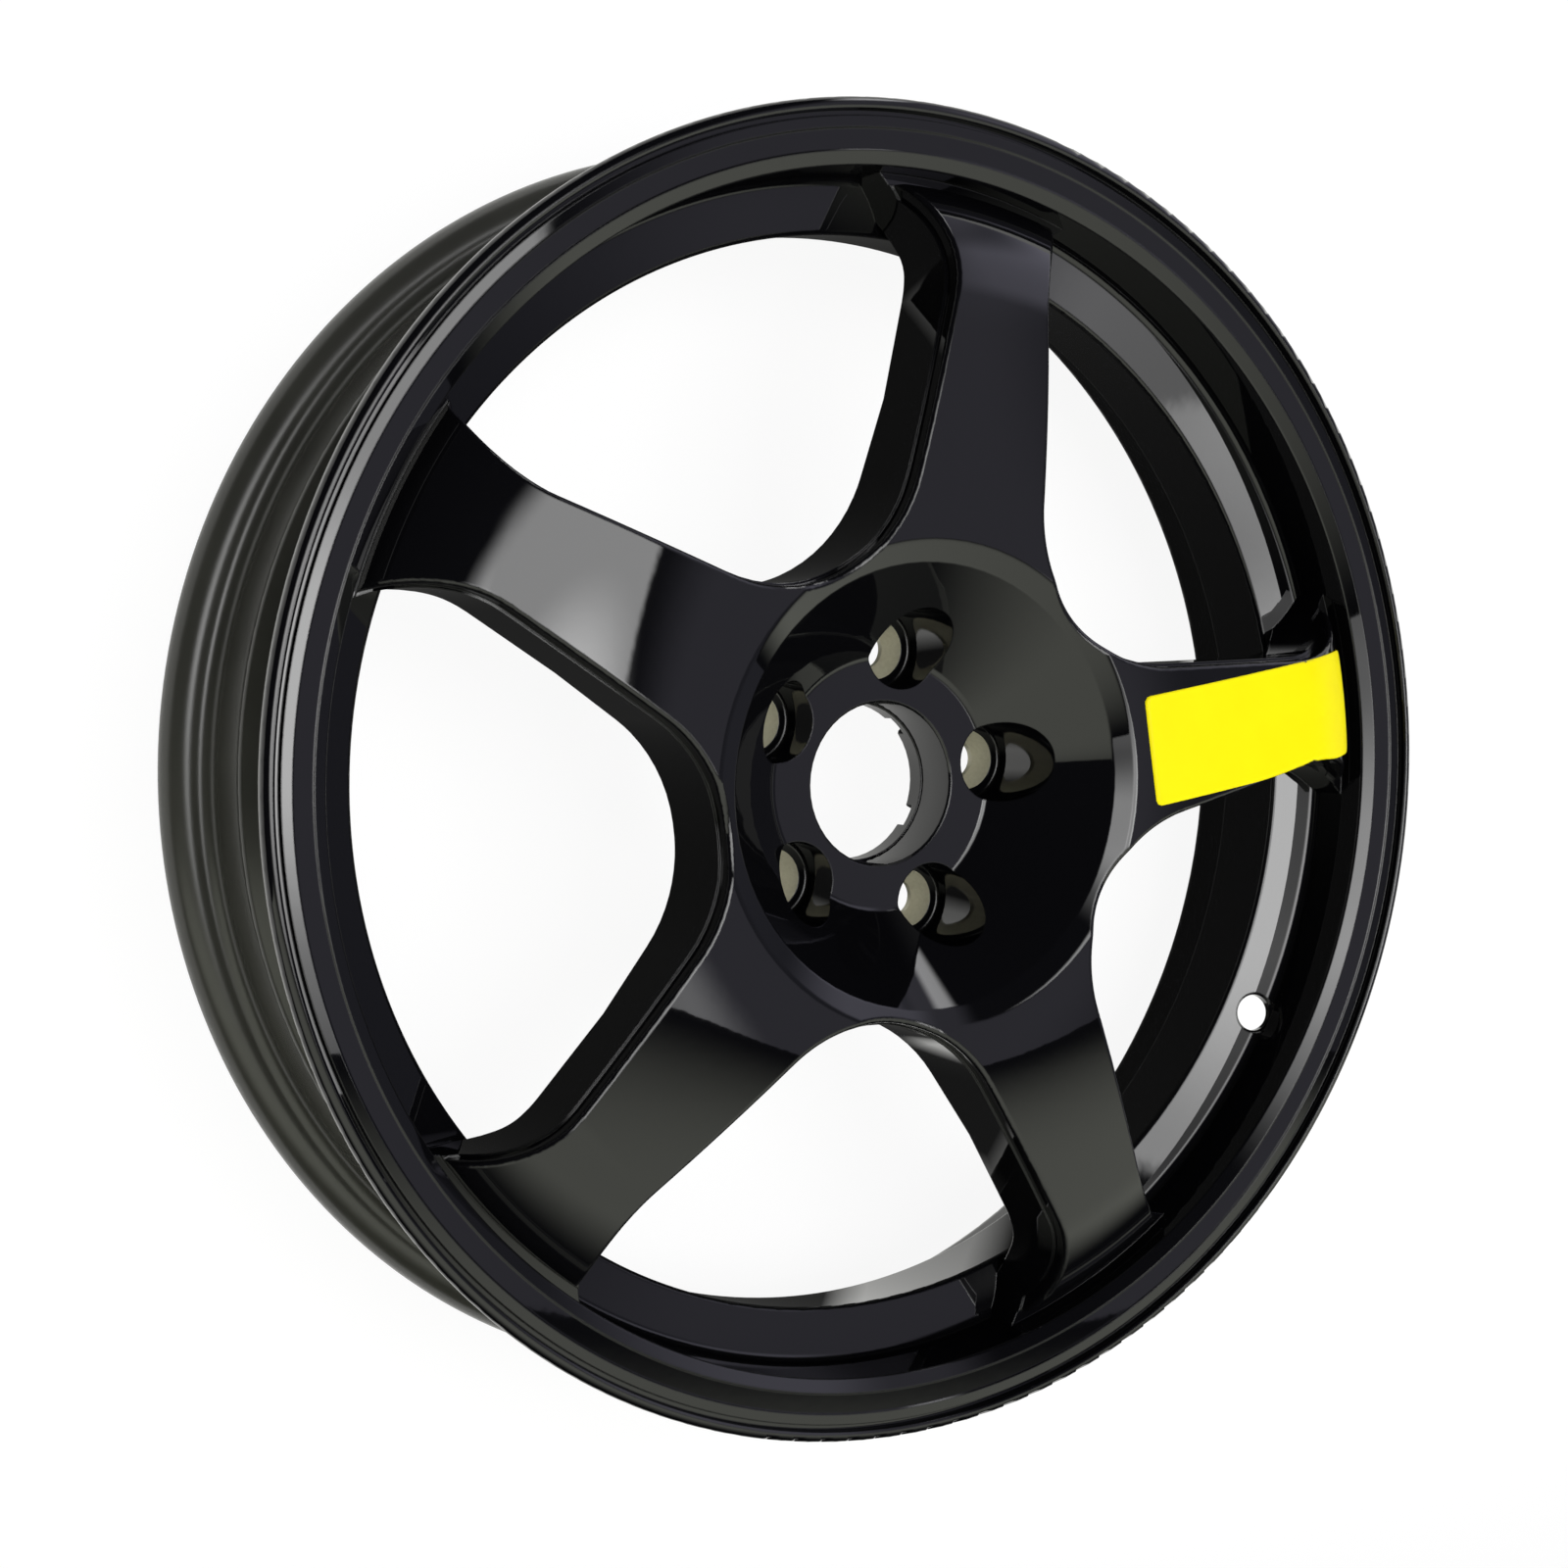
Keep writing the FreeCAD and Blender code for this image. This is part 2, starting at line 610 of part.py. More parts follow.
outline(barrel_section, [
    At(flange_r - size.flange_lip_r, front_top, arc=size.flange_lip_r),
    At(flange_r, front_top - size.flange_lip_r, arc=size.flange_curl_r),
    At(flange_r - size.flange_curl_r, front_z),
    At(size.bead_seat_r, front_z, ease=size.bead_corner_r),
    At(size.bead_seat_r - size.front_seat_width * seat_fall, front_seat_end),
    At(size.hump_r, front_seat_end - size.hump_run, ease=size.hump_round),
    At(size.well_r, size.well_front_z, ease=size.well_round),
    At(size.well_r, size.well_rear_z, ease=size.well_round),
    At(size.hump_r, rear_seat_end + size.hump_run, ease=size.hump_round),
    At(size.bead_seat_r - size.rear_seat_width * seat_fall, rear_seat_end),
    At(size.bead_seat_r, rear_z, ease=size.bead_corner_r),
    At(flange_r - size.flange_curl_r, rear_z, arc=size.flange_curl_r),
    At(flange_r, rear_top + size.flange_lip_r, arc=size.flange_lip_r),
    At(flange_r - size.flange_lip_r, rear_top),
    At(flange_r - size.flange_lip_r - size.rear_land, rear_top),
    At(rear_wall_r, rear_wall_z, ease=size.rear_wall_round),
    At(rear_wall_r - size.rear_wall_draft, rear_wall_z + size.rear_wall_length, ease=size.rear_wall_round),
    At(size.well_r - size.well_rear_wall, size.well_rear_z - size.well_rear_wall, ease=size.well_edge_round),
    At(shelf_in_r, shelf_in_z, ease=size.well_edge_round),
    At(ring_r, shelf_out_z, ease=size.shelf_round),
    At(ring_r + size.ring_draft, front_top - size.ring_edge_drop, ease=size.ring_edge_round),
    At(bevel_r, bevel_z),
    At(recess_in_r, bevel_z - size.recess_depth),
    At(recess_out_r, recess_out_z),
    At(land_in_r, land_in_z),
    At(land_out_r, land_out_z),
    At(groove_in_r, land_out_z - size.groove_depth),
    At(groove_in_r + size.groove_width, land_out_z - size.groove_depth),
    At(flange_r - size.flange_lip_r - size.lip_edge_in, front_top - size.lip_edge_drop),
])
barrel = turned(wheel, "Revolution", "barrel", barrel_section)

# Lug pockets with conical seats, one on the axis of every spoke
lug_section = sketch_on(wheel, "XZ_Plane", "lug_section")
half_pitch = "(180 / Sizes.spoke_count) * 1 deg"
lug_section.setExpression(".AttachmentOffset.Base.x", f"Sizes.lug_pitch_r * cos({half_pitch})")
lug_section.setExpression(".AttachmentOffset.Base.z", f"0 - Sizes.lug_pitch_r * sin({half_pitch})")
seat_rise = (size.lug_seat_r - size.lug_hole_r) * cosine(size.lug_seat_deg) / sine(size.lug_seat_deg)
outline(lug_section, [
    At(0, -size.tool_overrun),
    At(size.lug_hole_r, -size.tool_overrun),
    At(size.lug_hole_r, size.lug_floor_z - seat_rise),
    At(size.lug_seat_r, size.lug_floor_z),
    At(size.lug_pocket_r, size.lug_floor_z, ease=size.lug_floor_round),
    At(size.lug_pocket_r, size.crown_z + size.tool_overrun),
    At(0, size.crown_z + size.tool_overrun),
])
lug = turned(wheel, "Groove", "lug_pocket", lug_section)
repeated(wheel, "lug_pockets", lug)

# Slots through the rear lip of the bore, one under every window
slot_sketch = sketch_on(wheel, "XY_Plane", "slot_outline")
slot_out = size.bore_r + size.slot_reach
slot_in = size.bore_r - size.tool_overrun
outline(slot_sketch, [
    At(slot_in, -(size.slot_width / 2)),
    At(slot_out, -(size.slot_width / 2), ease=size.slot_round),
    At(slot_out, size.slot_width / 2, ease=size.slot_round),
    At(slot_in, size.slot_width / 2),
])
slot = wheel.newObject("PartDesign::Pocket", "bore_slot")
slot.Profile = slot_sketch
slot.Reversed = True
slot.setExpression("Length", "Sizes.slot_depth")
doc.recompute()
repeated(wheel, "bore_slots", slot)

# Valve hole square to the shelf, chamfered on the side of the spokes
valve_section = sketch_on(wheel, "XZ_Plane", "valve_section")
shelf_run = ring_r - shelf_in_r
shelf_tilt = f"atan({(size.shelf_rise / shelf_run).formula})"
valve_z = shelf_in_z + size.shelf_rise * (size.valve_r - shelf_in_r) / shelf_run
valve_section.setExpression(".AttachmentOffset.Base.x", size.valve_r.formula)
valve_section.setExpression(".AttachmentOffset.Base.y", valve_z.formula)
valve_section.setExpression(".AttachmentOffset.Rotation.Angle", shelf_tilt)
outline(valve_section, [
    At(0, -size.tool_overrun),
    At(size.valve_hole_r, -size.tool_overrun),
    At(size.valve_hole_r, -size.valve_chamfer),
    At(size.valve_hole_r + size.valve_chamfer, 0),
    At(size.valve_hole_r + size.valve_chamfer, size.flange_lip_r),
    At(0, size.flange_lip_r),
])
valve = turned(wheel, "Groove", "valve_hole", valve_section)
wheel.Tip = valve

# Every step of the model is sound before anything is written
for item in doc.Objects:
    if "Invalid" in item.State or "Error" in item.State:
        raise RuntimeError(f"{item.Name}: {item.State}")
    if item.isDerivedFrom("Sketcher::SketchObject") and not item.FullyConstrained:
        raise RuntimeError(f"{item.Name} is not fully fixed")
volume = None
for feature in wheel.Group:
    if feature.isDerivedFrom("PartDesign::Feature"):
        print(f"{feature.Name:14s} {feature.Shape.Volume / 1000:9.2f} cm3")
        if volume == feature.Shape.Volume:
            raise RuntimeError(f"{feature.Name} changed nothing")
        volume = feature.Shape.Volume
shape = wheel.Shape
if shape.isNull() or not shape.isValid() or len(shape.Solids) != 1:
    raise RuntimeError("the wheel is not one sound solid")
os.makedirs("parts", exist_ok=True)
shape.exportStep("parts/wheel_rim.step")
print("wheel_rim", len(shape.Faces), "faces", shape.BoundBox)
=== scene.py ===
# %% [markdown]
# # A gloss black alloy wheel rim
# The rim lies on its inboard flange on a pale floor, with the spokes up. The shapes come from
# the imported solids. This script adds the camera, the studio, the finishes and the small trim.
# Lengths are metres in the frame of the solids, where z is the wheel axis and points outboard.

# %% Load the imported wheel
import math

import bpy
import numpy as np
from mathutils import Matrix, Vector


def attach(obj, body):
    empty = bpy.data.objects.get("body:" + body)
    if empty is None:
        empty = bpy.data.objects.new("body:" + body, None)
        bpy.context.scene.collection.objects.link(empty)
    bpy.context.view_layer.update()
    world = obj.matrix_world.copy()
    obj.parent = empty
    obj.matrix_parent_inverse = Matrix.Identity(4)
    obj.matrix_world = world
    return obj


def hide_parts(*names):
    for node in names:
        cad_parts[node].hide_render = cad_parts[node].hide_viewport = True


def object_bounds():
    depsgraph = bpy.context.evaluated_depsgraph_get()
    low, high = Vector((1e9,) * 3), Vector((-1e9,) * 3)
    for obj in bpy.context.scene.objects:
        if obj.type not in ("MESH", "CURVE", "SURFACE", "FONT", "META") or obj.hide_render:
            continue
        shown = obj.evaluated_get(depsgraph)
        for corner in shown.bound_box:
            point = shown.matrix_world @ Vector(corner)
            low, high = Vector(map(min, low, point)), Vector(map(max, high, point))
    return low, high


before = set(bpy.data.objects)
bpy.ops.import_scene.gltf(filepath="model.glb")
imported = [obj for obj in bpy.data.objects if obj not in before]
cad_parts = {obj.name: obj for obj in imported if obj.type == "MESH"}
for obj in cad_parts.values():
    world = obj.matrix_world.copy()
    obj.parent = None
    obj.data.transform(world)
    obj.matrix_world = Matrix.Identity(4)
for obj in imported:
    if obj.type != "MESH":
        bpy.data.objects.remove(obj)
cad_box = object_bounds()
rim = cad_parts["wheel_rim"]
print("wheel", [round(v, 4) for v in cad_box[0]], [round(v, 4) for v in cad_box[1]])


# %% [markdown]
# ## Helpers
# Colours are written as the hex values that a colour picker shows, and one function turns them
# to the linear values that the shader wants. A second one adds a node, sets it and links it. The
# others start a finish, put an object into the scene, and turn a camera or a lamp to its place.

# %% Colour, node and object helpers
def linear(code):
    """Hex colour to linear RGBA: each channel is raised by the display curve's inverse."""
    parts = [int(code[i : i + 2], 16) / 255 for i in (1, 3, 5)]
    return [c / 12.92 if c <= 0.04045 else ((c + 0.055) / 1.055) ** 2.4 for c in parts] + [1.0]


def node(tree, kind, links=(), **settings):
    """Adds one node, sets its attributes and input values, and links (input, node, output)."""
    made = tree.nodes.new(kind)
    for name, value in settings.items():
        if name in made.bl_rna.properties:
            setattr(made, name, value)
        else:
            socket = int(name[3:]) if name.startswith("in_") else name.replace("_", " ")
            made.inputs[socket].default_value = value
    for socket, source, output in links:
        tree.links.new(source.outputs[output], made.inputs[socket])
    return made


def new_finish(name):
    """A material with an empty node tree, and that tree."""
    made = bpy.data.materials.new(name)
    made.use_nodes = True
    made.node_tree.nodes.clear()
    return made, made.node_tree


def add_object(name, data):
    """Puts a mesh, a camera or a lamp into the scene, at the origin."""
    made = bpy.data.objects.new(name, data)
    bpy.context.scene.collection.objects.link(made)
    return made


def posed(side, back, place):
    """Matrix of a camera or lamp at a place, from the directions of its right side and its back."""
    pose = np.eye(4)
    pose[:3] = np.stack([side, np.cross(back, side), back, place], axis=1)
    return Matrix(pose)


print("mid grey", [round(c, 3) for c in linear("#808080")])

# %% [markdown]
# ## Camera
# The photograph was taken about a metre from the wheel, 32 degrees off its axis. The wheel in the
# photograph stands up. Here it lies down, so the camera leans over it by the same angle and rolls
# until the picture looks the same. The picture's centre of perspective is below its middle, which
# the lens shift gives back.

# %% Place the camera
PICTURE_PX = 1600
FOCAL_PX = 2619.70
CENTRE_PX = (767.91, 946.63)
SENSOR_MM = 36.0
EYE = np.array([-0.49964, -0.20500, 0.89918])
EYE_BACK = np.array([-0.474251, -0.129821, 0.870770])
EYE_SIDE = np.array([0.775372, 0.406887, 0.482957])
camera = add_object("camera", bpy.data.cameras.new("camera"))
camera.matrix_world = posed(EYE_SIDE, EYE_BACK, EYE)
camera.data.sensor_width = SENSOR_MM
camera.data.lens = FOCAL_PX / PICTURE_PX * SENSOR_MM
camera.data.shift_x = (PICTURE_PX / 2 - CENTRE_PX[0]) / PICTURE_PX
camera.data.shift_y = (CENTRE_PX[1] - PICTURE_PX / 2) / PICTURE_PX
camera.data.clip_end = 50.0
bpy.context.scene.camera = camera
print("camera at", EYE.round(4), "lens", round(camera.data.lens, 2))

# %% [markdown]
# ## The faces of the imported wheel
# A mirror-like lacquer shows every slip of the shading normal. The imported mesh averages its
# normals, which breaks the reflections at the seams, so the next cells work the normals out anew.
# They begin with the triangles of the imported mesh. Its faces share no points, so points that are
# joined by triangles belong to one face: each takes the lowest number among its neighbours until
# nothing changes.

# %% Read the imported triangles
count = len(rim.data.vertices)
flat = np.empty(count * 3, np.float32)
rim.data.vertices.foreach_get("co", flat)
place = np.array(rim.matrix_world)
points = flat.reshape(-1, 3).astype(float) @ place[:3, :3].T + place[:3, 3]
corners = np.empty(len(rim.data.loops), np.int32)
rim.data.loops.foreach_get("vertex_index", corners)
triangles = corners.reshape(-1, 3)
first, second, third = (points[triangles[:, k]] for k in range(3))
normals = np.zeros_like(points)
np.add.at(normals, triangles.ravel(), np.repeat(np.cross(second - first, third - first), 3, axis=0))
normals /= np.maximum(np.linalg.norm(normals, axis=1, keepdims=True), 1e-30)
print("packed mesh", len(triangles), "triangles")

# %% Number the faces
label = np.arange(count)
while True:
    lowest = label[triangles].min(axis=1)
    spread = label.copy()
    np.minimum.at(spread, triangles.ravel(), np.repeat(lowest, 3))
    spread = spread[spread]
    if (spread == label).all():
        break
    label = spread
names, face_of = np.unique(label, return_inverse=True)
print("packed mesh has", len(names), "faces")


# %% [markdown]
# ## Exact normals
# A cast and turned wheel is made of simple faces: nearly each one is a line or an arc turned about
# the wheel axis or a lug axis, or a straight wall. So each face is fitted with such a surface, to
# a few thousandths of a millimetre, which then gives the exact normal at every point. The small
# rounds along the spokes fit none of them and keep averaged normals.

# %% Lines and arcs, turned or upright
def curve_normals(a, b, slack=3e-6):
    """Normals of the line or circle through plane points, or None if neither fits. A line comes from
    the main direction of the points, a circle from the linear equation a*a + b*b = p*a + q*b + s."""
    spots = np.stack([a, b], 1)
    spots = spots - spots.mean(axis=0)
    _, _, rows = np.linalg.svd(spots, full_matrices=False)
    if np.abs(spots @ rows[1]).max() < slack:
        return np.broadcast_to(rows[1], spots.shape)
    system = np.c_[spots, np.ones(len(a))]
    answer = np.linalg.lstsq(system, (spots**2).sum(axis=1), rcond=None)[0]
    centre = answer[:2] / 2
    radius = math.sqrt(max(answer[2] + centre @ centre, 0.0))
    away = spots - centre
    if np.abs(np.linalg.norm(away, axis=1) - radius).max() < slack:
        return away / radius
    return None


def turned_normals(spots, foot):
    """Normals of a line or arc turned about an upright axis: the curve's normal in distance and height."""
    out = spots[:, :2] - foot
    reach = np.linalg.norm(out, axis=1)
    bent = curve_normals(reach, spots[:, 2])
    if bent is None or reach.min() < 1e-6:
        return None
    return np.c_[bent[:, :1] * out / reach[:, None], bent[:, 1]]


def wall_normals(spots):
    """Normals of an upright wall whose plan is a line or an arc."""
    bent = curve_normals(spots[:, 0], spots[:, 1])
    return None if bent is None else np.c_[bent, np.zeros(len(spots))]


# %% Fit each face
LUG_CIRCLE = 0.054
LUG_NEAR = 0.02
lug_turn = np.radians(36 + 72 * np.arange(5))
lug_feet = LUG_CIRCLE * np.c_[np.cos(lug_turn), np.sin(lug_turn)]
order = np.argsort(face_of, kind="stable")
starts = np.searchsorted(face_of[order], np.arange(len(names) + 1))
fitted = np.zeros(count, bool)
about_axis = np.zeros(count, bool)
for begin, end in zip(starts[:-1], starts[1:]):
    chosen = order[begin:end]
    spots = points[chosen]
    found = turned_normals(spots, np.zeros(2))
    about_axis[chosen] = found is not None
    if found is None:
        found = wall_normals(spots)
    from_lug = np.linalg.norm(lug_feet - spots[:, :2].mean(axis=0), axis=1)
    if found is None and from_lug.min() < LUG_NEAR:
        found = turned_normals(spots, lug_feet[from_lug.argmin()])
    if found is not None:
        normals[chosen] = found * np.sign((found * normals[chosen]).sum())
        fitted[chosen] = True
print("fitted", len(np.unique(face_of[fitted])), "of", len(names), "faces")

# %% [markdown]
# ## Borders of the small rounds
# A round meets its neighbours without a kink, so along their border both have the same normal. A
# point of a round therefore borrows the exact normal of a fitted face at the same place, if the
# two lean less than thirty degrees apart. A larger lean is a true corner and stays as it is.

# %% Borrow normals along the borders
NO_KINK = math.cos(math.radians(30))
keys, merged = np.unique(np.round(points / 1e-7).astype(np.int64), axis=0, return_inverse=True)
merged = merged.ravel()
lenders = np.flatnonzero(fitted)
lenders = lenders[np.argsort(merged[lenders], kind="stable")]
free = np.flatnonzero(~fitted)
lender_start = np.searchsorted(merged[lenders], merged[free])
lender_end = np.searchsorted(merged[lenders], merged[free], side="right")
best = np.full(len(free), NO_KINK)
borrowed = normals[free].copy()
for k in range(int((lender_end - lender_start).max())):
    usable = lender_start + k < lender_end
    offer = normals[lenders[np.where(usable, lender_start + k, 0)]]
    close = np.where(usable, (offer * normals[free]).sum(axis=1), -1.0)
    better = close > best
    borrowed[better] = offer[better]
    best = np.maximum(best, close)
normals[free] = borrowed
print("borrowed", int((best > NO_KINK).sum()), "of", len(free), "normals")

# %% [markdown]
# ## One closed skin
# The finished skin is one closed shell, so points at the same place are welded. Each triangle keeps
# the normals of its own three corners, which lets a sharp edge stay sharp on the welded shell, and
# remembers its face and whether that face is turned about the wheel axis.

# %% Weld the triangles
welded = merged[triangles]
sound = (welded != np.roll(welded, 1, axis=1)).all(axis=1)
skin_points = np.zeros((len(keys), 3))
skin_points[merged] = points
tri = welded[sound]
tri_normals = normals[triangles[sound]]
tri_face = face_of[triangles[sound][:, 0]]
tri_turned = about_axis[triangles[sound][:, 0]]
print("welded", count, "points to", len(skin_points))


# %% [markdown]
# ## Rounder rings
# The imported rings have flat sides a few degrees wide, which the lacquer would show along the lips.
# An edge between two points of a turned face is therefore halved where it spans too wide an angle.
# Its new point keeps to the profile: it stands off the chord by the sagitta of the arc that the two
# normals give, and lies halfway round. Edges that a spoke or a hole shares stay as they are. A
# triangle with one, two or three halved sides becomes two, three or four.

# %% Middle of an edge on a turned face
def swing(start, stop):
    """The turn from one angle to another, the short way round."""
    return (stop - start + math.pi) % (2 * math.pi) - math.pi


def halved(first, second, first_normal, second_normal):
    """Middle of an edge on a turned face, and its normal. In the plane of distance and height the middle
    stands off the chord by half its length times the tangent of a quarter of the angle between normals."""
    turns = [np.arctan2(p[:, 1], p[:, 0]) for p in (first, second)]
    profile = [np.stack([np.hypot(p[:, 0], p[:, 1]), p[:, 2]], 1) for p in (first, second)]
    lean = [
        np.stack([n[:, 0] * np.cos(t) + n[:, 1] * np.sin(t), n[:, 2]], 1)
        for n, t in zip((first_normal, second_normal), turns)
    ]
    chord = profile[1] - profile[0]
    mid_lean = lean[0] + lean[1]
    mid_lean /= np.maximum(np.linalg.norm(mid_lean, axis=1, keepdims=True), 1e-12)
    angle = np.arccos(np.clip((lean[0] * lean[1]).sum(axis=1), -1.0, 1.0))
    outward = np.sign((chord * (lean[1] - lean[0])).sum(axis=1))
    bulge = outward * np.linalg.norm(chord, axis=1) / 2 * np.tan(angle / 4)
    middle = (profile[0] + profile[1]) / 2 + bulge[:, None] * mid_lean
    turn = turns[0] + swing(*turns) / 2
    way = np.stack([np.cos(turn), np.sin(turn)], 1)
    return np.c_[middle[:, :1] * way, middle[:, 1]], np.c_[mid_lean[:, :1] * way, mid_lean[:, 1]]


# %% Find the wide edges
WIDEST = math.radians(1.6)
RINGS_FROM = 0.2


def find_wide(tri, tri_face, tri_turned, spots):
    """The edge number of each triangle side, and which edges are too wide. Such an edge has turned faces
    on both sides, and lies inside one face or runs level round the wheel between two."""
    pairs = np.sort(np.stack([tri, np.roll(tri, -1, axis=1)], -1), axis=-1).reshape(-1, 2)
    edges, edge_of = np.unique(pairs, axis=0, return_inverse=True)
    edge_of = edge_of.ravel()
    all_turned = np.bincount(edge_of, np.repeat(tri_turned, 3)) == np.bincount(edge_of)
    low_face = np.full(len(edges), tri_face.max())
    high_face = np.zeros(len(edges), tri_face.dtype)
    np.minimum.at(low_face, edge_of, np.repeat(tri_face, 3))
    np.maximum.at(high_face, edge_of, np.repeat(tri_face, 3))
    ends = spots[edges]
    reach = np.hypot(ends[..., 0], ends[..., 1])
    turns = np.arctan2(ends[..., 1], ends[..., 0])
    level = (np.abs(np.diff(reach)) < 1e-6).ravel() & (np.abs(np.diff(ends[..., 2])) < 1e-6).ravel()
    wide = all_turned & ((low_face == high_face) | level)
    wide &= (np.abs(swing(turns[:, 0], turns[:, 1])) > WIDEST) & (reach.min(axis=1) > RINGS_FROM)
    return edge_of, wide


# %% Halve the wide edges of the turned rings
CUT_PATTERNS = (
    [(0, 1, 2)],
    [(0, 3, 2), (3, 1, 2)],
    [(3, 1, 4), (0, 3, 4), (0, 4, 2)],
    [(0, 3, 5), (3, 1, 4), (5, 4, 2), (3, 4, 5)],
)


def cut_first(cut):
    """Corner order of each triangle that brings its only halved side, or the first of two, to the front."""
    after_whole = (cut.argmin(axis=1) + 1) % 3
    front = np.choose(cut.sum(axis=1), (0, cut.argmax(axis=1), after_whole, 0))
    return (front[:, None] + np.arange(3)) % 3


for level in range(6):
    edge_of, wide = find_wide(tri, tri_face, tri_turned, skin_points)
    if not wide.any():
        break
    next_normals = np.roll(tri_normals, -1, axis=1).reshape(-1, 3)
    middles, middle_normals = halved(
        skin_points[tri.ravel()], skin_points[np.roll(tri, -1, axis=1).ravel()],
        tri_normals.reshape(-1, 3), next_normals,
    )
    side_of = np.zeros(len(wide), int)
    side_of[edge_of] = np.arange(len(edge_of))
    fresh = np.cumsum(wide) - 1 + len(skin_points)
    skin_points = np.vstack([skin_points, middles[side_of[wide]]])
    cut = wide[edge_of].reshape(-1, 3)
    corner = cut_first(cut)
    row = np.arange(len(tri))[:, None]
    six = np.hstack([tri[row, corner], fresh[edge_of].reshape(-1, 3)[row, corner]])
    six_normals = np.hstack([tri_normals[row, corner], middle_normals.reshape(-1, 3, 3)[row, corner]])
    cuts = cut.sum(axis=1)
    parts = [(np.flatnonzero(cuts == k), picks) for k in range(4) for picks in CUT_PATTERNS[k]]
    tri = np.concatenate([six[chosen][:, picks] for chosen, picks in parts])
    tri_normals = np.concatenate([six_normals[chosen][:, picks] for chosen, picks in parts])
    tri_face = np.concatenate([tri_face[chosen] for chosen, _ in parts])
    tri_turned = np.concatenate([tri_turned[chosen] for chosen, _ in parts])
    print("level", level, "halved", int(wide.sum()), "edges, now", len(tri), "triangles")

# %% [markdown]
# ## The skin takes the wheel's place
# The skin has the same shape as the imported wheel, so it stands in for it and rides on the same body.
# The exact normals become custom normals of its corners. A face attribute tells the paint which
# faces are turned.

# %% Build the lacquered skin
skin_mesh = bpy.data.meshes.new("wheel_skin")
skin_mesh.from_pydata(skin_points, [], tri)
skin_mesh.polygons.foreach_set("use_smooth", np.ones(len(tri), bool))
skin_mesh.normals_split_custom_set(tri_normals.reshape(-1, 3))
turned_flag = skin_mesh.attributes.new("turned", "FLOAT", "FACE")
turned_flag.data.foreach_set("value", tri_turned.astype(np.float32))
skin = add_object("wheel_skin", skin_mesh)
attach(skin, "root")
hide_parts("wheel_rim")
print("skin", len(skin_mesh.polygons), "triangles")

# %% [markdown]
# ## Paint
# Cast wheels are powder primed, sprayed black and sealed with a clear lacquer. The lacquer gives
# the sharp reflections, so the shader is a nearly black base under a full coat. Sprayed lacquer
# dries with a faint orange peel, a few millimetres from bump to bump, which makes the edges of
# the reflections waver. A turned face has no slope round the wheel, so the part of the normal that
# points that way, left over from long triangles, is taken away before the edges are softened.

# %% Lacquered black paint
AXIS = (0.0, 0.0, 1.0)
EDGE_ROUND = 0.0008
PEEL_WIDTH = 0.006
PEEL_HEIGHT = 0.0005
PEEL_STRENGTH = 0.008
HAZE_WIDTH = 0.08
paint, tree = new_finish("sprayed_black_lacquer")
spot = node(tree, "ShaderNodeTexCoord")
turned = node(tree, "ShaderNodeAttribute", attribute_name="turned")
surface = node(tree, "ShaderNodeNewGeometry")
around = node(tree, "ShaderNodeVectorMath", [(1, spot, "Object")], operation="CROSS_PRODUCT", in_0=AXIS)
around = node(tree, "ShaderNodeVectorMath", [(0, around, "Vector")], operation="NORMALIZE")
slip = node(
    tree, "ShaderNodeVectorMath", [(0, surface, "Normal"), (1, around, "Vector")], operation="DOT_PRODUCT"
)
slip = node(tree, "ShaderNodeMath", [(0, slip, "Value"), (1, turned, "Fac")], operation="MULTIPLY")
slip = node(
    tree, "ShaderNodeVectorMath", [(0, around, "Vector"), ("Scale", slip, "Value")], operation="SCALE"
)
exact = node(
    tree, "ShaderNodeVectorMath", [(0, surface, "Normal"), (1, slip, "Vector")], operation="SUBTRACT"
)
exact = node(tree, "ShaderNodeVectorMath", [(0, exact, "Vector")], operation="NORMALIZE")
edge = node(tree, "ShaderNodeBevel", [("Normal", exact, "Vector")], samples=4, Radius=EDGE_ROUND)
peel = node(tree, "ShaderNodeTexNoise", [("Vector", spot, "Object")], Scale=1 / PEEL_WIDTH, Detail=1.0)
bump = node(
    tree, "ShaderNodeBump", [("Height", peel, "Fac"), ("Normal", edge, "Normal")],
    Strength=PEEL_STRENGTH, Distance=PEEL_HEIGHT,
)
drift = node(tree, "ShaderNodeTexNoise", [("Vector", spot, "Object")], Scale=1 / HAZE_WIDTH, Detail=2.0)
haze = node(tree, "ShaderNodeMapRange", [("Value", drift, "Fac")], To_Min=0.18, To_Max=0.3)
lacquer = node(
    tree, "ShaderNodeBsdfPrincipled",
    [("Roughness", haze, "Result"), ("Normal", bump, "Normal"), ("Coat Normal", bump, "Normal")],
    Base_Color=linear("#08080a"), Specular_IOR_Level=0.0,
    Coat_Weight=1.0, Coat_Roughness=0.02, Coat_IOR=1.5,
)
node(tree, "ShaderNodeOutputMaterial", [("Surface", lacquer, "BSDF")])
skin_mesh.materials.append(paint)
rim.data.materials.clear()
rim.data.materials.append(paint)
print(paint.name, "has", len(tree.nodes), "nodes")

# %% [markdown]
# ## Barrel
# The tyre covers the outside of the barrel, so it gets the black paint but hardly any lacquer. It
# dries to a satin surface that blurs what it reflects and varies where the spray passes overlap.

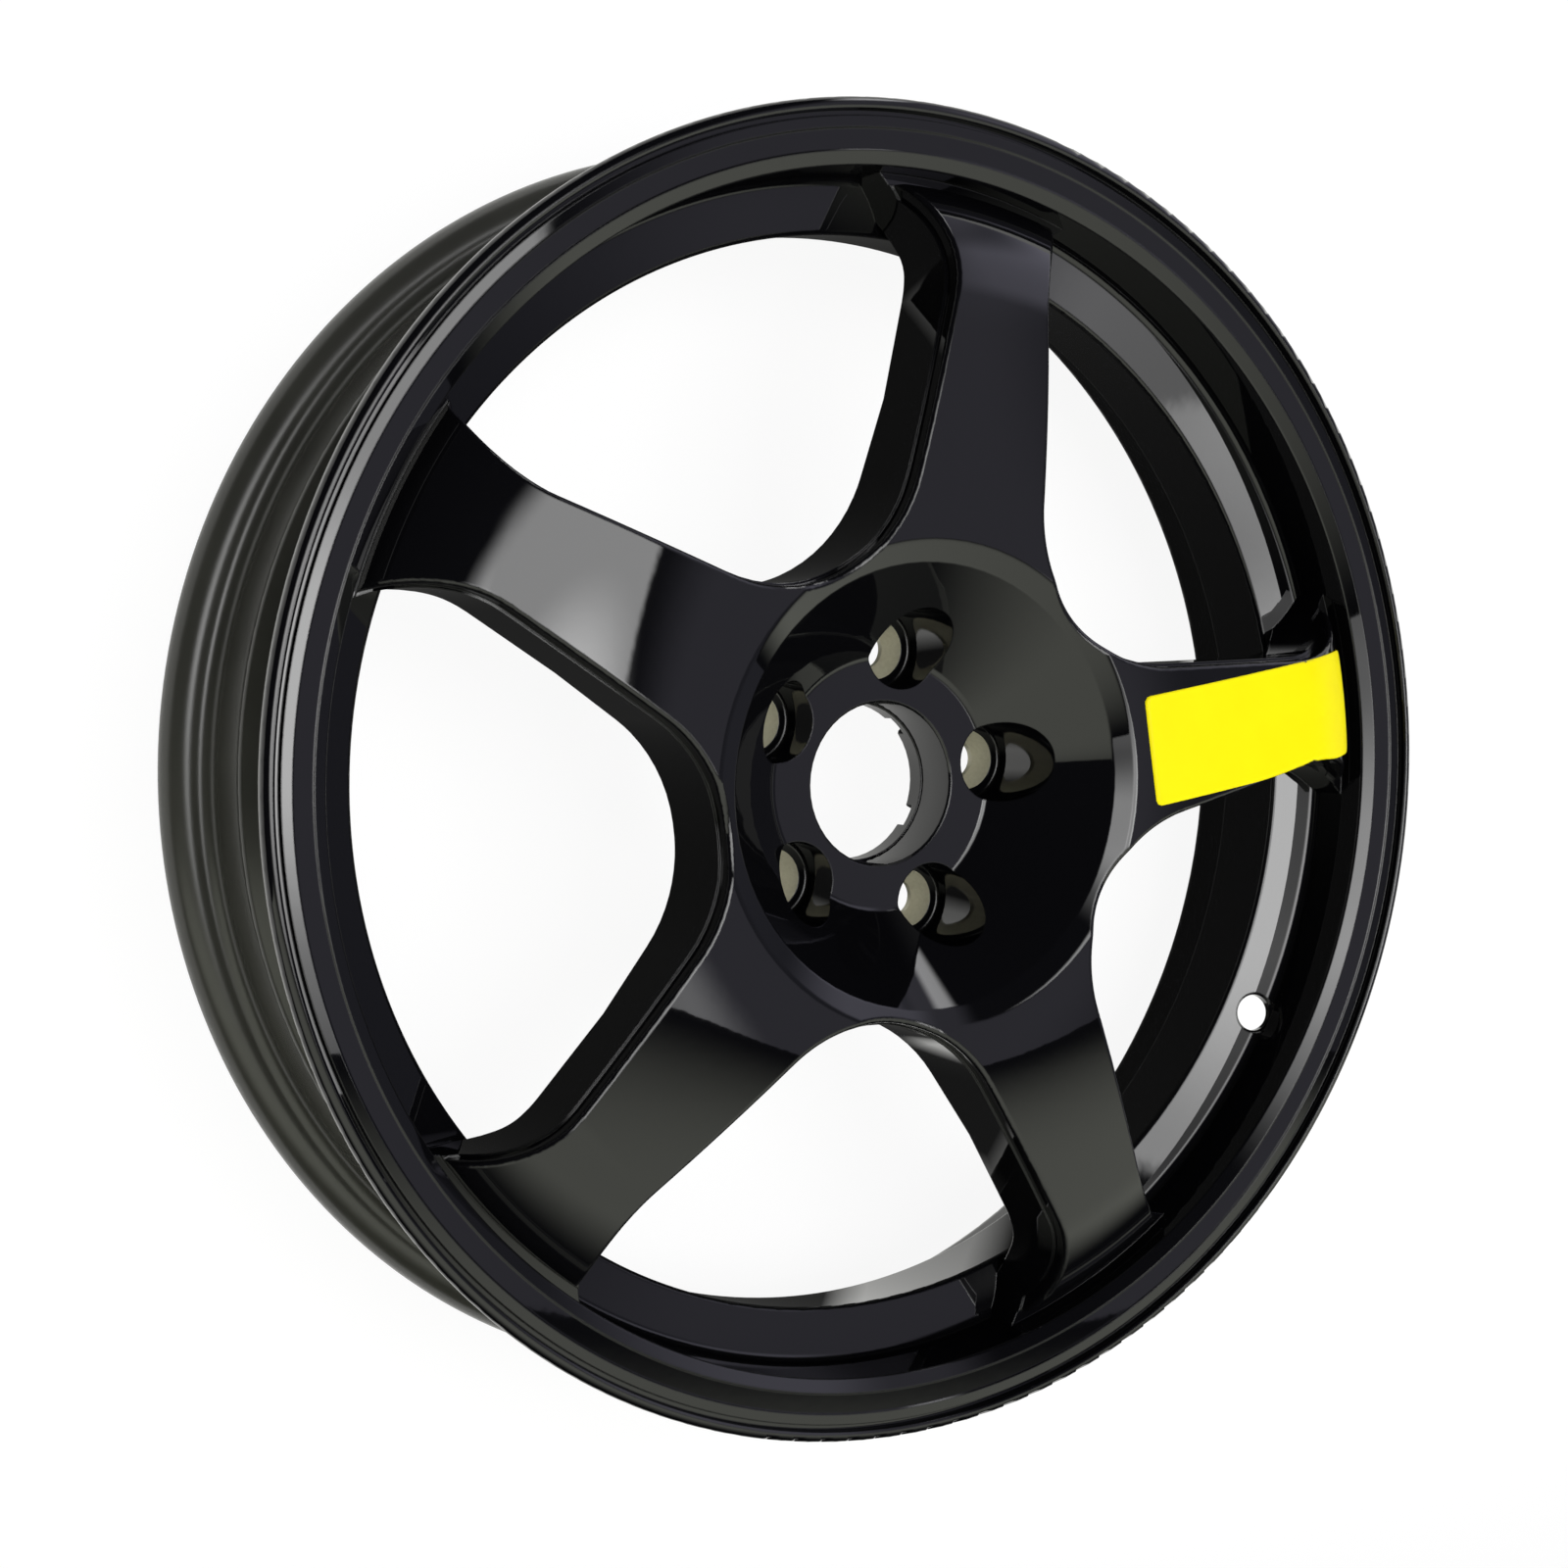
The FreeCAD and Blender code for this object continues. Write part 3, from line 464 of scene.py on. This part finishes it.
# %% Satin barrel paint
SPRAY_WIDTH = 0.05
satin, tree = new_finish("thinly_sprayed_black_paint")
spot = node(tree, "ShaderNodeTexCoord")
passes = node(tree, "ShaderNodeTexNoise", [("Vector", spot, "Object")], Scale=1 / SPRAY_WIDTH, Detail=3.0)
body = node(
    tree, "ShaderNodeMix", [("Factor", passes, "Fac")], data_type="RGBA",
    in_6=linear("#32322e"), in_7=linear("#42423d"),
)
blur = node(tree, "ShaderNodeMapRange", [("Value", passes, "Fac")], To_Min=0.2, To_Max=0.3)
edge = node(tree, "ShaderNodeBevel", samples=4, Radius=EDGE_ROUND)
covered = node(
    tree, "ShaderNodeBsdfPrincipled",
    [("Base Color", body, 2), ("Roughness", blur, "Result"), ("Normal", edge, "Normal")], IOR=1.5,
)
node(tree, "ShaderNodeOutputMaterial", [("Surface", covered, "BSDF")])
skin_mesh.materials.append(satin)
print(satin.name, "has", len(tree.nodes), "nodes")

# %% [markdown]
# ## Bolt seats
# The cones that the bolts press on are machined after painting, so that no paint can creep under
# the bolt heads. They are bare cast aluminium, dulled by its oxide.

# %% Bare seats
GRAIN_WIDTH = 0.0015
bare, tree = new_finish("turned_cast_aluminium")
spot = node(tree, "ShaderNodeTexCoord")
grain = node(tree, "ShaderNodeTexNoise", [("Vector", spot, "Object")], Scale=1 / GRAIN_WIDTH, Detail=3.0)
tone = node(
    tree, "ShaderNodeMix", [("Factor", grain, "Fac")], data_type="RGBA",
    in_6=linear("#b9b69d"), in_7=linear("#d6d3bf"),
)
dull = node(tree, "ShaderNodeMapRange", [("Value", grain, "Fac")], To_Min=0.38, To_Max=0.55)
metal = node(
    tree, "ShaderNodeBsdfPrincipled", [("Base Color", tone, 2), ("Roughness", dull, "Result")], Metallic=0.4
)
node(tree, "ShaderNodeOutputMaterial", [("Surface", metal, "BSDF")])
skin_mesh.materials.append(bare)
print(bare.name, "has", len(tree.nodes), "nodes")

# %% [markdown]
# ## Which finish goes where
# A painter masks whole faces, and so does this cell. The seats are the triangles close to a lug axis
# between the floor and the rim of the seat. The covered faces are turned ones that look away from
# the axis, and those behind the outboard flange, each judged by its mean over the whole face.

# %% Share out the finishes
SEAT_REACH = 0.01215
SEAT_HEIGHTS = (0.0002, 0.0106)
BARREL_FROM = 0.2
FLANGE_FROM = 0.2405
FLANGE_BACK = 0.0445
middles = skin_points[tri].mean(axis=1)
from_lug = np.linalg.norm(middles[:, None, :2] - lug_feet[None], axis=2).min(axis=1)
seats = (from_lug < SEAT_REACH) & (middles[:, 2] > SEAT_HEIGHTS[0]) & (middles[:, 2] < SEAT_HEIGHTS[1])
reach = np.hypot(points[:, 0], points[:, 1])
outward = (normals[:, :2] * points[:, :2]).sum(axis=1) / reach
share = np.bincount(face_of)
mean_out, mean_reach, mean_z = (np.bincount(face_of, v) / share for v in (outward, reach, points[:, 2]))
looks_away = (mean_out > 0.05) & (mean_reach > BARREL_FROM)
behind_flange = (mean_out > -0.35) & (mean_reach > FLANGE_FROM)
tyre_side = (looks_away | behind_flange) & (mean_z < FLANGE_BACK) & (np.bincount(face_of, about_axis) > 0)
finish_of = np.where(seats, 2, tyre_side[tri_face])
skin_mesh.polygons.foreach_set("material_index", finish_of.astype(np.int32))
print("triangles with lacquer, satin, bare metal:", np.bincount(finish_of).tolist())


# %% [markdown]
# ## Yellow film
# A spare wheel carries a strip of self-adhesive yellow film along one spoke. It is a tenth of a
# millimetre thick and follows the face, so it is drawn as rings that shrink from the rounded outline
# to the middle, each point lifted to the height of the spoke face. Where the strip is wider than the
# face it bends round the spoke's edge. The outline runs down to the paint, which closes the edge.

# %% Height of the spoke face and outline of the film
CROWN_R = 0.600
CROWN_AT = 0.112
CROWN_TOP = 0.072
SHOULDER_R = 0.060
SHOULDER_AT = 0.188


def face_height(r):
    """Height of the spoke face: the large arc of the crown, then the small one of the shoulder, which
    has its centre on the line from the crown's centre to the place where they meet."""
    sine = (SHOULDER_AT - CROWN_AT) / CROWN_R
    crown_z = CROWN_TOP - CROWN_R
    shoulder_r = CROWN_AT + sine * (CROWN_R - SHOULDER_R)
    shoulder_z = crown_z + math.sqrt(1 - sine * sine) * (CROWN_R - SHOULDER_R)
    crown = crown_z + np.sqrt(CROWN_R**2 - (r - CROWN_AT) ** 2)
    shoulder = shoulder_z + np.sqrt(np.maximum(SHOULDER_R**2 - (r - shoulder_r) ** 2, 0.0))
    return np.where(r < SHOULDER_AT, crown, shoulder)


def rounded_outline(length, width, radius, steps):
    """Points spread evenly along a rectangle with quarter circles at the corners."""
    quarter = np.linspace(0.0, math.pi / 2, 9)
    turns = np.concatenate([quarter + k * math.pi / 2 for k in range(4)])
    x_sign = np.repeat([1.0, -1.0, -1.0, 1.0], 9)
    y_sign = np.repeat([1.0, 1.0, -1.0, -1.0], 9)
    x = x_sign * (length / 2 - radius) + radius * np.cos(turns)
    y = y_sign * (width / 2 - radius) + radius * np.sin(turns)
    x, y = np.append(x, x[0]), np.append(y, y[0])
    run = np.append(0.0, np.cumsum(np.hypot(np.diff(x), np.diff(y))))
    even = np.linspace(0.0, run[-1], steps, endpoint=False)
    return np.interp(even, run, x), np.interp(even, run, y)


print("spoke face at its top and shoulder", face_height(np.array([CROWN_AT, SHOULDER_AT])).round(4))

# %% Spread the film over the spoke
FILM_STEPS = 176
FILM_RINGS = 26
FILM_LENGTH = 0.1191
FILM_WIDTH = 0.0446
FILM_CORNER = 0.0025
FILM_MIDDLE = (0.16145, -0.0017)
FILM_TIP = math.radians(1.0)
edge_x, edge_y = rounded_outline(FILM_LENGTH, FILM_WIDTH, FILM_CORNER, FILM_STEPS)
shrink = np.append(np.linspace(0.0, 1.0, FILM_RINGS)[1:], 1.0)[:, None]
u = FILM_MIDDLE[0] + shrink * (edge_x * math.cos(FILM_TIP) - edge_y * math.sin(FILM_TIP))
v = FILM_MIDDLE[1] + shrink * (edge_x * math.sin(FILM_TIP) + edge_y * math.cos(FILM_TIP))
print("film from", u.min().round(4), "to", u.max().round(4), "along the spoke")

# %% Bend the film round the edges of the spoke
SPOKE_EDGE_R = 0.002
TAPER_FROM = 0.116
TAPER_HALF = 0.02765
TAPER = math.tan(math.radians(6.15))
FLARE_FROM = 0.192
FLARE_HALF = 0.0198
FLARE_R = 0.058
taper = TAPER_HALF - (u - TAPER_FROM) * TAPER
flare = FLARE_HALF + (u - FLARE_FROM) ** 2 / (2 * FLARE_R)
over = np.clip(np.abs(v) - np.where(u < FLARE_FROM, taper, flare), 0.0, None)
bend = np.minimum(over / SPOKE_EDGE_R, math.pi / 2)
v = np.sign(v) * (np.abs(v) - over + SPOKE_EDGE_R * np.sin(bend))
drop = SPOKE_EDGE_R * (1 - np.cos(bend)) + over - SPOKE_EDGE_R * bend
print("film drops over the edges by up to", drop.max().round(4))

# %% Lift the film and build it
FILM_LIFT = 0.00014
FILM_SUNK = -0.00015
BRIDGE_FROM = 0.2
BRIDGE_LENGTH = 0.021
BRIDGE_LIFT = 0.0015
SPOKE_TURN = math.radians(36.0)
lift = np.full((FILM_RINGS, 1), FILM_LIFT)
lift[-1] = FILM_SUNK
stand_off = BRIDGE_LIFT * np.clip((u - BRIDGE_FROM) / BRIDGE_LENGTH, 0.0, 1.0) ** 2
height = face_height(np.hypot(u, v)) - drop + lift + stand_off
x = u * math.cos(SPOKE_TURN) - v * math.sin(SPOKE_TURN)
y = u * math.sin(SPOKE_TURN) + v * math.cos(SPOKE_TURN)
film_rings = np.stack([x, y, height], -1)
film_points = np.vstack([film_rings.reshape(-1, 3), film_rings[0].mean(axis=0)])
ring = np.arange(FILM_RINGS - 1)[:, None] * FILM_STEPS
here = np.arange(FILM_STEPS)[None, :]
ahead = (here + 1) % FILM_STEPS
quads = np.stack([ring + here, ring + FILM_STEPS + here, ring + FILM_STEPS + ahead, ring + ahead], -1)
fan = np.stack([np.full(FILM_STEPS, len(film_points) - 1), here[0], ahead[0]], -1)
film_mesh = bpy.data.meshes.new("yellow_film")
film_mesh.from_pydata(film_points, [], quads.reshape(-1, 4).tolist() + fan.tolist())
film_mesh.polygons.foreach_set("use_smooth", np.ones(len(film_mesh.polygons), bool))
film = add_object("yellow_film", film_mesh)
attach(film, "root")
print("film", len(film_mesh.polygons), "faces")

# %% [markdown]
# ## Vinyl
# Such films are cast from soft vinyl with the pigment in the mass. Its surface is even and a little
# dull, so it shows its own colour and hardly any reflection. A faint cloud a couple of centimetres
# wide keeps the colour from looking flat.

# %% Film finish
CLOUD_WIDTH = 0.02
vinyl, tree = new_finish("cast_yellow_vinyl")
spot = node(tree, "ShaderNodeTexCoord")
cloud = node(tree, "ShaderNodeTexNoise", [("Vector", spot, "Object")], Scale=1 / CLOUD_WIDTH, Detail=2.0)
tint = node(
    tree, "ShaderNodeMix", [("Factor", cloud, "Fac")], data_type="RGBA",
    in_6=linear("#f4e400"), in_7=linear("#f8ec00"),
)
sheen = node(tree, "ShaderNodeMapRange", [("Value", cloud, "Fac")], To_Min=0.4, To_Max=0.5)
plastic = node(
    tree, "ShaderNodeBsdfPrincipled", [("Base Color", tint, 2), ("Roughness", sheen, "Result")],
    Specular_IOR_Level=0.12,
)
node(tree, "ShaderNodeOutputMaterial", [("Surface", plastic, "BSDF")])
film_mesh.materials.append(vinyl)
print(vinyl.name, "has", len(tree.nodes), "nodes")


# %% [markdown]
# ## Studio
# The lacquer shows whatever is round it, so the studio is set out as the reflections on the wheel
# ask: a large soft light a little right of the axis, a glowing card along the low side that paints the
# light of a pale reflector, dim panels at the right and darkness at the left. Right, up and near are
# those of the picture, which is turned about the wheel axis against the frame. Soft-edged patches are
# needed several times, so one function multiplies the fades that make a patch.

# %% Directions and soft patches
TURN = math.radians(26.13)
ACROSS = np.array([math.cos(TURN), math.sin(TURN), 0.0])
UPWARD = np.array([-math.sin(TURN), math.cos(TURN), 0.0])


def studio(x, y, z):
    """A place or direction given by what is right, up and nearer in the picture, in the wheel's frame."""
    return x * ACROSS + y * UPWARD + z * np.array(AXIS)


def patch(tree, source, output, fades, curve="SMOOTHSTEP"):
    """The product of fades, each rising from 0 to 1 between two distances along a direction."""
    product = None
    for direction, start, stop in fades:
        along = node(
            tree, "ShaderNodeVectorMath", [(0, source, output)], operation="DOT_PRODUCT", in_1=direction
        )
        fade = node(
            tree, "ShaderNodeMapRange", [("Value", along, "Value")],
            interpolation_type=curve, From_Min=start, From_Max=stop,
        )
        if product is None:
            product = fade
        else:
            product = node(tree, "ShaderNodeMath", [(0, product, 0), (1, fade, 0)], operation="MULTIPLY")
    return product


print("picture's right in the frame", ACROSS.round(3), "and up", UPWARD.round(3))

# %% [markdown]
# ## Floor
# The floor is white for the camera, with a soft shadow of the wheel on it. Mirrored in the lacquer it
# glows with painted light instead: bright outside the wheel, and under the hub and at the low right
# where light would fall in, and dark inside the barrel, a painted shade of the barrel.

# %% Lay the floor
FLOOR_REACH = 6.0
low = float(cad_box[0][2])
square = np.array([(-1, -1), (1, -1), (1, 1), (-1, 1)]) * FLOOR_REACH
floor_mesh = bpy.data.meshes.new("floor")
floor_mesh.from_pydata(np.c_[square, np.full(4, low)], [], [(0, 1, 2, 3)])
floor = add_object("floor", floor_mesh)
print("floor at", round(low, 4))

# %% Floor finish
WALL_SHADE = (0.24, 0.262)
BORE_LIGHT = (0.03, 0.075)
LOW_LIGHT = (0.158, 0.176)
RIGHT_LIGHT = (0.042, 0.062)
sheet, tree = new_finish("pale_studio_floor")
spot = node(tree, "ShaderNodeTexCoord")
path = node(tree, "ShaderNodeLightPath")
seen = node(
    tree, "ShaderNodeMath", [(0, path, "Is Camera Ray"), (1, path, "Is Transmission Ray")],
    operation="MAXIMUM",
)
plain = node(tree, "ShaderNodeBsdfDiffuse", Color=linear("#e8e8e6"))
shade = node(tree, "ShaderNodeBsdfDiffuse", Color=linear("#595959"))
glow = node(tree, "ShaderNodeEmission", Color=linear("#ffffff"), Strength=0.92)
both = node(tree, "ShaderNodeAddShader", [(0, glow, "Emission"), (1, shade, "BSDF")])
direct = node(tree, "ShaderNodeMixShader", [(0, seen, "Value"), (1, plain, "BSDF"), (2, both, "Shader")])
# For mirrored rays the floor glows with painted light and shade: dark inside the barrel, bright outside it,
# under the hub and at the low right.
level = node(
    tree, "ShaderNodeVectorMath", [(0, spot, "Object")], operation="MULTIPLY", in_1=(1.0, 1.0, 0.0)
)
away = node(tree, "ShaderNodeVectorMath", [(0, level, "Vector")], operation="LENGTH")
outside = node(
    tree, "ShaderNodeMapRange", [("Value", away, "Value")],
    From_Min=WALL_SHADE[0], From_Max=WALL_SHADE[1], To_Min=0.05, To_Max=1.0,
)
under_hub = node(
    tree, "ShaderNodeMapRange", [("Value", away, "Value")],
    From_Min=BORE_LIGHT[0], From_Max=BORE_LIGHT[1], To_Min=1.0, To_Max=0.0,
)
low_right = patch(tree, spot, "Object", ((-UPWARD, *LOW_LIGHT), (ACROSS, *RIGHT_LIGHT)), "LINEAR")
painted_floor_light = node(tree, "ShaderNodeMath", [(0, outside, "Result"), (1, under_hub, "Result")], operation="MAXIMUM")
painted_floor_light = node(tree, "ShaderNodeMath", [(0, painted_floor_light, "Value"), (1, low_right, 0)], operation="MAXIMUM")
# The painted glow that the lacquer mirrors.
painted_floor_glow = node(tree, "ShaderNodeEmission", [("Strength", painted_floor_light, "Value")], Color=linear("#fffffc"))
whole = node(
    tree, "ShaderNodeMixShader",
    [(0, path, "Is Glossy Ray"), (1, direct, "Shader"), (2, painted_floor_glow, "Emission")],
)
node(tree, "ShaderNodeOutputMaterial", [("Surface", whole, "Shader")])
floor_mesh.materials.append(sheet)
print(sheet.name, "has", len(tree.nodes), "nodes")

# %% [markdown]
# ## Low reflector
# The lower spokes mirror something pale and near on the low side: olive towards the ring, and dark
# towards the hub, where the mirrored rays pass above it. A card at that distance gives this, while a
# colour of the world would be the same for every spoke. The card glows, painted light in place of a
# lit pale card. It fades out at the top and at the right, and near the floor as painted shade of the
# wheel, and only the reflections see it.

# %% Stand up the card
CARD_BELOW = -0.45
CARD_SIDES = (-1.6, 1.75)
CARD_TOP = 2.05
card_mesh = bpy.data.meshes.new("low_glowing_card")
card_plan = [(x, z) for z, sides in ((low, CARD_SIDES), (CARD_TOP, CARD_SIDES[::-1])) for x in sides]
card_mesh.from_pydata([studio(x, CARD_BELOW, z) for x, z in card_plan], [], [(0, 1, 2, 3)])
card = add_object("low_glowing_card", card_mesh)
card.visible_camera = False
card.visible_shadow = False
print("card", round(CARD_SIDES[1] - CARD_SIDES[0], 2), "wide and", CARD_TOP, "high")

# %% Card finish
CARD_GLOW = 1.29
# The card's glow is painted light, and its fade near the floor is painted shade of the wheel.
CARD_FADES = ((AXIS, 2.0, 0.75), (AXIS, 0.05, 0.35), (ACROSS, 1.7, 1.2))
card_glow_finish, tree = new_finish("glowing_reflector_card")
spot = node(tree, "ShaderNodeTexCoord")
shine = patch(tree, spot, "Object", CARD_FADES)
shine = node(tree, "ShaderNodeMath", [(0, shine, 0)], operation="MULTIPLY", in_1=CARD_GLOW)
pale = node(tree, "ShaderNodeEmission", [("Strength", shine, "Value")], Color=linear("#fcfff0"))
node(tree, "ShaderNodeOutputMaterial", [("Surface", pale, "Emission")])
card_mesh.materials.append(card_glow_finish)
print(card_glow_finish.name, "has", len(tree.nodes), "nodes")

# %% [markdown]
# ## Surroundings
# Everything farther off is painted into the world, by the direction in which a mirror sees it. Over
# near darkness come a dim panel at the right, a darker one beyond it, a bright strip at the upper
# right and the soft light's own box with a sharp right edge. Round glows then stand for the lamps'
# halos. The numbers are light levels and not paint colours, so they may pass 1. The camera sees
# white.

# %% Panels of the world
RIGHT = (1.0, 0.0, 0.0)
LEFT = (-1.0, 0.0, 0.0)
UP = (0.0, 1.0, 0.0)
DOWN = (0.0, -1.0, 0.0)
DARKNESS = (0.02, 0.02, 0.025, 1.0)
PANELS = (
    ("MIX", (0.44, 0.43, 0.52, 1.0), [(RIGHT, 0.36, 0.45)]),
    ("MIX", (0.16, 0.16, 0.2, 1.0), [(RIGHT, 0.56, 0.66)]),
    ("MIX", (1.0, 0.98, 1.2, 1.0), [(RIGHT, 0.5, 0.6), (UP, 0.3, 0.5), (DOWN, -0.8, -0.7)]),
    (
        "ADD", (5.4, 5.4, 5.4, 1.0),
        [(RIGHT, -0.3, -0.1), (LEFT, -0.366, -0.356), (UP, -0.26, -0.04), (DOWN, -0.44, -0.24)],
    ),
)
world = bpy.data.worlds.new("studio")
bpy.context.scene.world = world
world.use_nodes = True
tree = world.node_tree
tree.nodes.clear()
toward = node(tree, "ShaderNodeTexCoord")
way = node(tree, "ShaderNodeMapping", [("Vector", toward, "Generated")], Rotation=(0.0, 0.0, -TURN))
light = node(tree, "ShaderNodeMix", data_type="RGBA", Factor=0.0, in_6=DARKNESS)
for blend, level, fades in PANELS:
    panel = patch(tree, way, "Vector", fades)
    light = node(
        tree, "ShaderNodeMix", [(0, panel, 0), (6, light, 2)],
        data_type="RGBA", blend_type=blend, in_7=level,
    )
print("world has", len(PANELS), "panels")

# %% Glows of the world
GLOW_EDGE = 1.0
GLOW_CORE = 0.3
GLOWS = (
    ((-0.27, 0.10), (0.21, 0.28), 5.0),
    ((-0.12, -0.26), (0.38, 0.27), 1.8),
    ((0.27, 0.0), (0.11, 0.13), 5.0),
    ((0.38, -0.16), (0.1, 0.1), 2.2),
    ((0.44, 0.89), (0.08, 0.08), 4.0),
)
for middle, size, strength in GLOWS:
    offset = node(
        tree, "ShaderNodeVectorMath", [(0, way, "Vector")], operation="SUBTRACT", in_1=(*middle, 0.0)
    )
    scaled = node(
        tree, "ShaderNodeVectorMath", [(0, offset, "Vector")], operation="DIVIDE", in_1=(*size, 1e6)
    )
    distance = node(tree, "ShaderNodeVectorMath", [(0, scaled, "Vector")], operation="LENGTH")
    halo = node(
        tree, "ShaderNodeMapRange", [("Value", distance, "Value")],
        interpolation_type="SMOOTHSTEP", From_Min=GLOW_EDGE, From_Max=GLOW_CORE,
    )
    light = node(
        tree, "ShaderNodeMix", [(0, halo, 0), (6, light, 2)],
        data_type="RGBA", blend_type="ADD", in_7=(strength, strength, strength, 1.0),
    )
path = node(tree, "ShaderNodeLightPath")
room = node(tree, "ShaderNodeBackground", [("Color", light, 2)], Strength=1.0)
white = node(tree, "ShaderNodeBackground", Color=linear("#ffffff"), Strength=1.0)
shown = node(
    tree, "ShaderNodeMixShader",
    [(0, path, "Is Camera Ray"), (1, room, "Background"), (2, white, "Background")],
)
node(tree, "ShaderNodeOutputWorld", [("Surface", shown, "Shader")])
print("world has", len(GLOWS), "glows and", len(tree.nodes), "nodes")

# %% [markdown]
# ## Soft light
# One large area lamp lights what does not mirror: the film, the barrel and the floor. It stands
# where the bright box of the world is. It is hidden from reflections, because the world already
# shows that box. Its size is given by how far it reaches right and up, seen from the wheel, and its
# power is radiance times pi times area.

# %% Key softbox
LAMP_RIGHT = (-0.12, 0.36)
LAMP_UP = (-0.08, 0.28)
LAMP_AWAY = 10.0
LAMP_RADIANCE = 1.0
FACE_CENTRE = np.array([0.0, 0.0, 0.04895])
lamp = bpy.data.lights.new("key_softbox", "AREA")
lamp.shape = "RECTANGLE"
lamp.size = (LAMP_RIGHT[1] - LAMP_RIGHT[0]) * LAMP_AWAY
lamp.size_y = (LAMP_UP[1] - LAMP_UP[0]) * LAMP_AWAY
lamp.energy = LAMP_RADIANCE * math.pi * lamp.size * lamp.size_y
lamp_x = sum(LAMP_RIGHT) / 2
lamp_y = sum(LAMP_UP) / 2
lamp_way = studio(lamp_x, lamp_y, math.sqrt(1 - lamp_x**2 - lamp_y**2))
lamp_side = np.cross(UPWARD, lamp_way)
lamp_side /= np.linalg.norm(lamp_side)
softbox = add_object("key_softbox", lamp)
softbox.matrix_world = posed(lamp_side, lamp_way, FACE_CENTRE + LAMP_AWAY * lamp_way)
softbox.visible_camera = False
softbox.visible_glossy = False
print("key softbox", round(lamp.energy, 1), "watts")

# %% [markdown]
# ## View transform
# The picture is shown with the standard view transform. The dressed wheel has to stay within the
# solids' box.

# %% Standard view transform
bpy.context.scene.view_settings.view_transform = "Standard"
